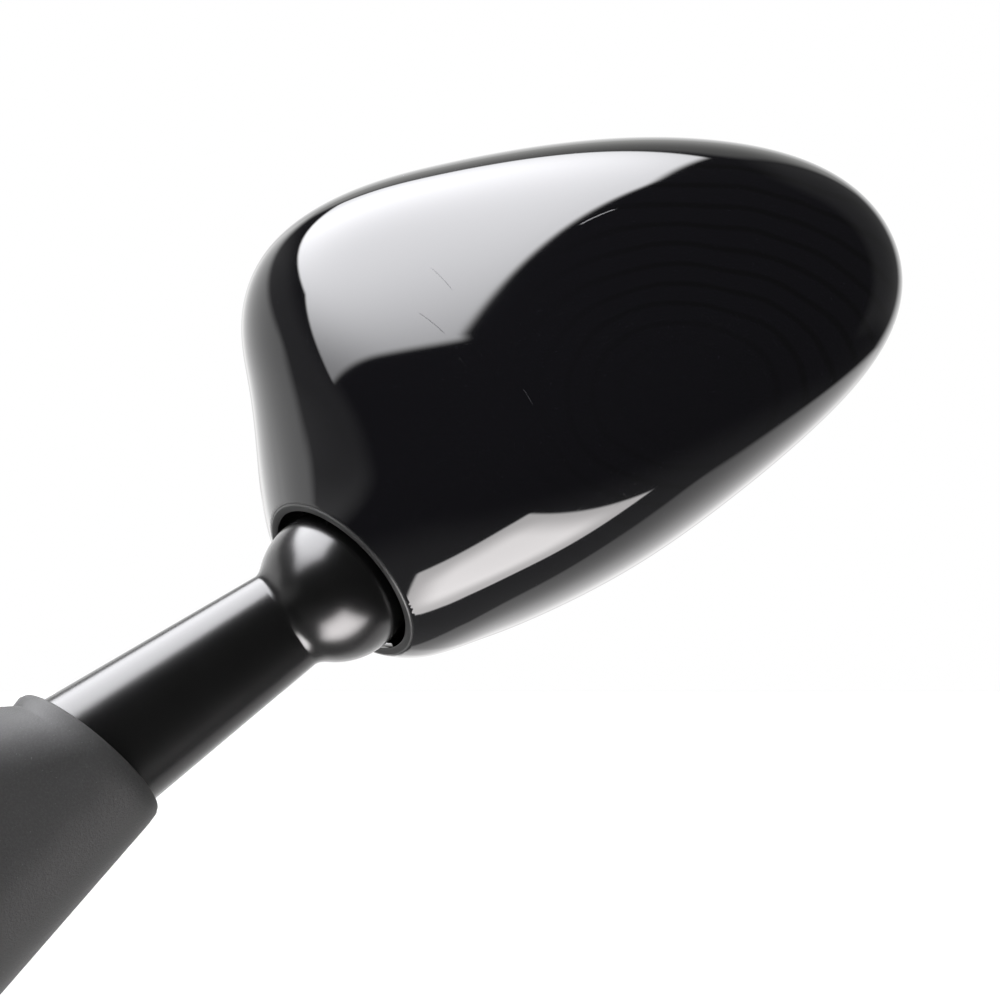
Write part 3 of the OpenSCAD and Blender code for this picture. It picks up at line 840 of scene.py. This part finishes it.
# Arm with its ball
armForm = {
    "ballRadius": 20 * mm,
    "places": (4 * mm, 26 * mm, armLength - 10 * mm),       # along the arm from its pivot
    "radii": (15.5 * mm, 19.4 * mm, 13.3 * mm),             # half height at those places
    "flatness": 0.78,
    "crease": 2.2 * mm,        # how softly the arm runs into the ball
    "fineRings": (3 * mm, 8 * mm),      # closer rings from before the ball's start to beyond it
    "ballEnd": math.radians(81.2),      # from the ball's widest ring to the flat that takes the stud
    "columns": 160,
    "eyeRadius": 11.5 * mm,
    "eyeHeight": 31 * mm,
    "eyeDrop": 13 * mm,        # the eye's lower face lies this much below the arm's middle line
    "eyeChamfer": 0.6 * mm,
    "boreRadius": 6.02 * mm,
    "pocketRadius": 8.5 * mm,
    "pocketDepth": 15 * mm,
    "studHole": (3.02 * mm, 14 * mm),   # radius and depth
}


def makeArm():
    angles = np.linspace(0, 2 * math.pi, armForm["columns"], endpoint=False)
    c, s = np.cos(angles), np.sin(angles)
    ballRadius, crease = armForm["ballRadius"], armForm["crease"]
    ballStart = armLength - ballRadius
    fineStart, fineEnd = ballStart - armForm["fineRings"][0], ballStart + armForm["fineRings"][1]
    along = list(np.linspace(armForm["places"][0], fineStart, 60))
    along += list(np.linspace(fineStart, fineEnd, 70)[1:])
    tilt = np.linspace(math.asin((fineEnd - armLength) / ballRadius), armForm["ballEnd"], 60)[1:]
    along += list(armLength + ballRadius * np.sin(tilt))
    rings = []
    for u in along:
        r = np.interp(u, armForm["places"], armForm["radii"])
        arm = r / np.sqrt(c ** 2 + (s / armForm["flatness"]) ** 2)
        if u > fineEnd + mm:                    # well inside the ball the arm has ended
            arm = arm * 0
        ball = np.full_like(arm, math.sqrt(max(0, ballRadius * ballRadius - (u - armLength) ** 2)))
        near = np.maximum(crease - np.abs(arm - ball), 0) / crease
        radius = np.maximum(arm, ball) + near ** 2 * crease / 4 * (ball > 0)
        rings.append(pivotMiddle + u * armAxis + np.outer(c * radius, armUp) + np.outer(s * radius, armSide))
    bm = bmesh.new()
    addRings(bm, rings)
    casting = meshFromBmesh(bm, "castArm", 50)
    up = np.array([0, 0, 1.0])
    eyeFoot = pivotMiddle - armForm["eyeDrop"] * up
    height, pocket = armForm["eyeHeight"], armForm["pocketDepth"]
    eyeSide, chamfer = armForm["eyeRadius"], armForm["eyeChamfer"]
    eye = turned([(0, eyeSide - chamfer), (chamfer, eyeSide), (height - chamfer, eyeSide),
                  (height, eyeSide - chamfer)], eyeFoot, up)
    joinSolids(casting, [eye], "UNION", 50)
    studRadius, studDepth = armForm["studHole"]
    ballTop = ballMiddle + armForm["ballRadius"] * armAxis
    joinSolids(casting, [rod(eyeFoot - mm * up, up, height + 2 * mm, armForm["boreRadius"]),
                         rod(eyeFoot + (height - pocket) * up, up, 2 * pocket, armForm["pocketRadius"]),
                         rod(ballTop - studDepth * armAxis, armAxis, 2 * studDepth, studRadius)],
               "DIFFERENCE", 50)
    return casting


arm = makeArm()
standFor(arm, "stem", "arm")
print("arm made")


# Rubber boot
bootForm = {
    "wall": 2.6 * mm,
    "footRadius": 26.9 * mm,
    "footStraight": 40 * mm,
    "footHeight": 5.5 * mm,
    "footRound": 0.3 * mm,
    "reach": 32 * mm,                   # from the pivot to the boot's mouth, along the arm
    "offset": np.array([0.4, -0.2, 1.5]) * mm,
    "rise": math.radians(50),           # the way the mouth faces
    "sweep": math.radians(21.5),
    "mouthHalf": (18.6 * mm, 22.5 * mm),
    "bodyTaller": 0.4 * mm,             # behind the lip the boot is this much higher
    "bodyDrop": 0.2 * mm,
    "bore": (16.9 * mm, 20.5 * mm),
    "boreDrop": 0.9 * mm,
    "lipRound": 0.9 * mm,
    "lipStep": 0.6 * mm,                # from the body to the start of the lip's round
    "boreRound": 0.5 * mm,
    "collar": 4.5 * mm,
    "columns": 180,
}
bootPlace = pivotMiddle + bootForm["reach"] * armAxis + bootForm["offset"]
bootAxis = np.array([math.cos(bootForm["rise"]) * math.cos(bootForm["sweep"]), math.sin(bootForm["sweep"]),
                     math.sin(bootForm["rise"]) * math.cos(bootForm["sweep"])])
bootUp = np.array([-math.sin(bootForm["rise"]), 0, math.cos(bootForm["rise"])])
bootSide = np.cross(bootUp, bootAxis)
bootAngles = (np.arange(bootForm["columns"]) + 0.5) / bootForm["columns"] * 2 * math.pi


def footRing(radius, x):
    # two half circles with a straight stretch between them, in a plane along the fairing
    c, s = np.cos(bootAngles), np.sin(bootAngles)
    z = radius * s + np.sign(s) * bootForm["footStraight"] / 2
    return np.stack([np.full_like(c, x), radius * c, z], axis=-1)


def makeBoot():
    c, s = np.cos(bootAngles), np.sin(bootAngles)

    def mouth(half, drop, back):
        return (bootPlace - back * bootAxis + np.outer(half[0] * c, bootSide)
                + np.outer(half[1] * s - drop, bootUp))

    def between(share, radius, half, drop, x):
        return footRing(radius, x) * (1 - share) + mouth(half, drop, bootForm["collar"]) * share

    half = np.array(bootForm["mouthHalf"])
    body = half + np.array([0, bootForm["bodyTaller"]])
    bore = np.array(bootForm["bore"])
    outerFoot, footRound = bootForm["footRadius"], bootForm["footRound"]
    innerFoot = outerFoot - bootForm["wall"]
    top = padThickness + bootForm["footHeight"]
    steps = np.linspace(0, 1, 30)
    rings = [footRing(outerFoot - footRound, padThickness), footRing(outerFoot, padThickness + footRound)]
    rings += [between(share, outerFoot, body, bootForm["bodyDrop"], top) for share in steps]
    lip, edge = bootForm["lipRound"], bootForm["boreRound"]
    rings.append(mouth(body, 0, lip + bootForm["lipStep"]))
    for b in np.linspace(0, math.pi / 2, 6):
        rings.append(mouth(half - lip * (1 - math.cos(b)), 0, lip * (1 - math.sin(b))))
    for b in np.linspace(math.pi / 2, math.pi, 5)[1:]:
        rings.append(mouth(bore + edge * (1 + math.cos(b)), bootForm["boreDrop"], edge * (1 - math.sin(b))))
    rings += [between(share, innerFoot, bore, bootForm["boreDrop"], top) for share in steps[::-1]]
    rings.append(footRing(innerFoot, padThickness))
    bm = bmesh.new()
    addRings(bm, rings, loopBack=True)
    return meshFromBmesh(bm, "rubberBoot", 40)


boot = makeBoot()
standFor(boot, "rubber_boot")
tuple(bootPlace - 4 * mm * bootAxis)
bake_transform(boot)
print("boot made")


# Rubber pad against the fairing
padForm = {"round": 0.4 * mm, "spacing": 50 * mm, "holeRadius": 3.7 * mm}


def makePad():
    r = padForm["round"]
    bm = bmesh.new()
    addRings(bm, [footRing(bootForm["footRadius"] - inset, x)
                  for x, inset in ((0, r), (0.3 * r, 0.3 * r), (r, 0), (padThickness, 0))])
    pad = meshFromBmesh(bm, "rubberPad", 50)
    holes = [rod(np.array([-mm, 0, side * padForm["spacing"] / 2]), (1, 0, 0), padThickness + 2 * mm,
                 padForm["holeRadius"]) for side in (-1, 1)]
    joinSolids(pad, holes, "DIFFERENCE", 50)
    return pad


standFor(makePad(), "base_pad", "base")
print("pad made")


# Threaded studs
studForm = {
    "radius": 3 * mm,
    "pitch": 1.0 * mm,
    "threadDepth": 0.55 * mm,
    "columns": 36,
    "stepsPerTurn": 12,
    "point": 0.8 * mm,
    "runOut": 1.5 * mm,        # plain length between the thread and the shank
    "shankChamfer": 0.4 * mm,
}


def makeStuds():
    bm = bmesh.new()
    x0, x1 = studBox[0].x, studBox[1].x
    radius, shank = studForm["radius"], (studBox[1].y - studBox[0].y) / 2
    threadEnd = -studForm["runOut"]
    count = int((threadEnd - x0) / studForm["pitch"] * studForm["stepsPerTurn"])
    angles = np.linspace(0, 2 * math.pi, studForm["columns"], endpoint=False)
    for z in (studBox[0].z + shank, studBox[1].z - shank):
        stations = []
        for i in range(count + 1):
            x = x0 + (threadEnd - x0) * i / count
            phase = (x / studForm["pitch"] - angles / (2 * math.pi)) % 1
            fade = min(1, (threadEnd - x) / studForm["pitch"])
            depth = np.abs(phase * 2 - 1) * studForm["threadDepth"] * fade
            taper = max(0, studForm["point"] - (x - x0))
            stations.append((x, np.minimum(radius - depth, radius - taper)))
        plain = np.ones_like(angles)
        chamfer = studForm["shankChamfer"]
        stations += [(0, radius * plain), (0, shank * plain), (x1 - chamfer, shank * plain),
                     (x1, (shank - chamfer) * plain)]
        rings = [np.stack([np.full_like(r, x), r * np.cos(angles), z + r * np.sin(angles)], axis=-1)
                 for x, r in stations]
        addRings(bm, rings)
    return meshFromBmesh(bm, "threadedStuds", 60)


studs = makeStuds()
standFor(studs, "mount_studs", "base")
print("studs made")


# Studio: a dark front, a large softbox overhead, a bright card below, paler cards and a wall behind
softboxLight = {"strength": (4.5, 15.5), "rise": (-78, 66, 38, 80), "soft": 0.035, "tint": (0.97, 0.97, 1.0)}
studio = {
    "white": 1.0,               # what the camera sees behind the mirror
    "dark": 0.055,
    "fill": 0.55,               # what matt surfaces get from all sides
    "floorHeight": -0.3,
    "floorSize": 14.0,
    "backWall": {"strength": 1.2, "from": 0.70, "to": 0.88, "top": (28, 38), "above": 0.35},
    "glassDim": {"from": 0.975, "to": 0.999, "share": 0.4},      # straight ahead of the mirror glass
    "lowFill": {"strength": 0.25, "heights": (-55, -22)},
    # corners are (azimuth, elevation) in degrees: azimuth 0 looks from the object to the camera,
    # 90 to the right; rise is a direction and two heights over the plane across it, between which
    # the strength goes from its first value to its second
    "cards": {
        "rightFill": {
            "corners": [(92, -12), (150, -8), (158, 60), (95, 66)],
            "strength": (0.2, 0.2), "rise": (0, 90, 0, 60), "soft": 0.30},
        "leftFill": {
            "corners": [(-50, -22), (-52, 40), (-110, 46), (-160, 46), (-165, -24), (-115, -28)],
            "strength": (0.7, 0.3), "rise": (0, 90, -14, 6), "soft": 0.30},
        "leftWall": {
            "corners": [(-89, -18), (-87, 14), (-105, 24), (-165, 30), (-170, -18)],
            "strength": (1.7, 1.7), "rise": (0, 90, -20, 30), "soft": 0.22},
        "upperBack": {
            "corners": [(150, 26), (-155, 26), (-158, 50), (178, 60), (155, 66)],
            "strength": (1.0, 0.6), "rise": (0, 90, 30, 60), "soft": 0.16, "tint": (1.0, 1.0, 0.98)},
        "lowRight": {
            "corners": [(100, -42), (125, -25), (150, -8), (-165, 2), (-165, -46), (160, -58), (120, -57)],
            "strength": (1.05, 1.45), "rise": (0, 90, -52, -30), "soft": 0.10, "tint": (1.0, 0.99, 0.99)},
        "softbox": {
            **softboxLight,
            "corners": [(-75, 37), (-20, 42), (-8, 70), (30, 82), (160, 63), (-175, 55), (-160, 38)]},
        "softboxTip": {
            **softboxLight,
            "corners": [(-60, 14), (-20, 42), (-40, 60), (-78, 40)]},
        "floorCard": {
            "corners": [(16, -34), (70, -42), (78, -80), (-98, -76), (-32, -56)],
            "strength": (17.0, 17.0), "rise": (0, 90, -60, -40), "soft": 0.03, "tint": (1.0, 0.97, 0.97),
            "fade": {"depth": 0.22, "loss": 0.45}},     # towards its sides
    },
    "lamps": {
        "keyLamp": {"place": (-0.9, -0.7, 1.5), "size": 1.0, "power": 18},
        "fillLamp": {"place": (1.3, -1.2, 0.6), "size": 1.2, "power": 6},
    },
}


def direction(azimuth, elevation):
    a, e = math.radians(azimuth), math.radians(elevation)
    return np.array([math.sin(a) * math.cos(e), -math.cos(a) * math.cos(e), math.sin(e)])


def makeStudio():
    world = bpy.data.worlds.new("studio")
    scene.world = world
    world.use_nodes = True
    world.node_tree.nodes.clear()
    world.cycles.sampling_method = "NONE"       # rays that leave a surface find the cards by themselves
    shader = Shader(world.node_tree)
    look = shader.node("ShaderNodeTexCoord", out="Generated")
    rearward = shader.node("ShaderNodeSeparateXYZ", {}, (look,), out=1)
    height = shader.node("ShaderNodeSeparateXYZ", {}, (look,), out=2)
    wall, dim = studio["backWall"], studio["glassDim"]
    low, high = (math.sin(math.radians(angle)) for angle in wall["top"])
    shade = 1 - height.between(low, high) * (1 - wall["above"])
    gloss = rearward.between(wall["from"], wall["to"]) * shade
    gloss = gloss * (wall["strength"] - studio["dark"]) + studio["dark"]
    low, high = (math.sin(math.radians(angle)) for angle in studio["lowFill"]["heights"])
    gloss = gloss + (1 - height.between(low, high)) * studio["lowFill"]["strength"]
    white = colour = (1, 1, 1, 1)
    for card in studio["cards"].values():
        corners = [direction(*corner) for corner in card["corners"]]
        middle = unit(sum(corners))
        mask = core = 1
        for first, second in zip(corners, corners[1:] + corners[:1]):
            normal = unit(np.cross(first, second))
            if normal @ middle < 0:
                normal = -normal
            edge = shader.node("ShaderNodeVectorMath", {"operation": "DOT_PRODUCT"},
                               (look, tuple(normal)), out="Value")
            mask = edge.between(-card["soft"] / 2, card["soft"] / 2) * mask
            if "fade" in card:
                core = edge.between(0.0, card["fade"]["depth"]) * core
        azimuth, elevation, *angles = card["rise"]
        low, high = (math.sin(math.radians(angle)) for angle in angles)
        weak, strong = card["strength"]
        toward = shader.node("ShaderNodeVectorMath", {"operation": "DOT_PRODUCT"},
                             (look, tuple(direction(azimuth, elevation))), out="Value")
        level = toward.between(low, high) * (strong - weak) + weak
        if "fade" in card:
            loss = card["fade"]["loss"]
            level = level * (core * loss + (1 - loss))
        gloss = gloss.maths("MAXIMUM", mask * level)
        colour = shader.blendColours(mask, colour, (*card.get("tint", white[:3]), 1))
    gloss = gloss * (1 - rearward.between(dim["from"], dim["to"]) * dim["share"])
    seen, glossy, passing = (shader.node("ShaderNodeLightPath", out=f"Is {kind} Ray")
                             for kind in ("Camera", "Glossy", "Transmission"))
    glossy = glossy.maths("MAXIMUM", passing)
    strength = seen * studio["white"] + (1 - seen) * (glossy * gloss + (1 - glossy) * studio["fill"])
    colour = shader.blendColours(glossy, white, colour)
    background = shader.node("ShaderNodeBackground", {}, {"Color": colour, "Strength": strength})
    shader.node("ShaderNodeOutputWorld", {}, {"Surface": background})


def makeFloor():
    half = studio["floorSize"] / 2
    z = studio["floorHeight"]
    bm = bmesh.new()
    corners = ((-half, -half), (half, -half), (half, half), (-half, half))
    bm.faces.new([bm.verts.new((x, y, z)) for x, y in corners])
    floor = meshFromBmesh(bm, "floor")
    finish = Finish("paleFloor", Roughness=0.9)
    grain = finish.noise(90.0, 3.0)
    finish.feed("Base Color", finish.blendColours(grain, grey(0.80), grey(0.84)))
    seen = finish.node("ShaderNodeLightPath", out="Is Camera Ray")
    finish.feed("Emission Color", finish.blendColours(seen, grey(0.0), grey(0.5)))
    finish.surface.inputs["Emission Strength"].default_value = 1.0
    floor.data.materials.append(finish.material)
    floor.visible_glossy = False


lampTarget = Vector((headMiddle[0], ballMiddle[1], headMiddle[1]))


def makeLamp(name, place, size, power):
    lamp = bpy.data.lights.new(name, "AREA")
    lamp.shape = "DISK"
    lamp.size = size
    lamp.energy = power
    holder = bpy.data.objects.new(name, lamp)
    holder.location = place
    aim = lampTarget - Vector(place)
    holder.rotation_euler = aim.to_track_quat("-Z", "Y").to_euler()
    holder.visible_glossy = False
    scene.collection.objects.link(holder)


makeStudio()
makeFloor()
for name, lamp in studio["lamps"].items():
    makeLamp(name, **lamp)
print("studio made:", len(studio["cards"]), "cards")


# Camera at the photograph's place, level and looking along +Y
cameraForm = {
    "distance": 1.0,
    "millimetresPerPixel": 0.26,        # at the ball
    "ballPixel": (335.4, 585.3),        # the ball's middle in the photograph
    "imageSide": 1000,
    "sensor": 36,                       # millimetres
}
side = cameraForm["imageSide"]
step = cameraForm["millimetresPerPixel"] * mm
camera = bpy.data.objects.new("camera", bpy.data.cameras.new("camera"))
camera.data.sensor_width = cameraForm["sensor"]
camera.data.lens = cameraForm["sensor"] * cameraForm["distance"] / (side * step)
camera.location = (ballMiddle[0] + (side / 2 - cameraForm["ballPixel"][0]) * step,
                   ballMiddle[1] - cameraForm["distance"],
                   ballMiddle[2] - (side / 2 - cameraForm["ballPixel"][1]) * step)
camera.rotation_euler = (math.pi / 2, 0, 0)
scene.collection.objects.link(camera)
scene.camera = camera
scene.view_settings.view_transform = "Standard"
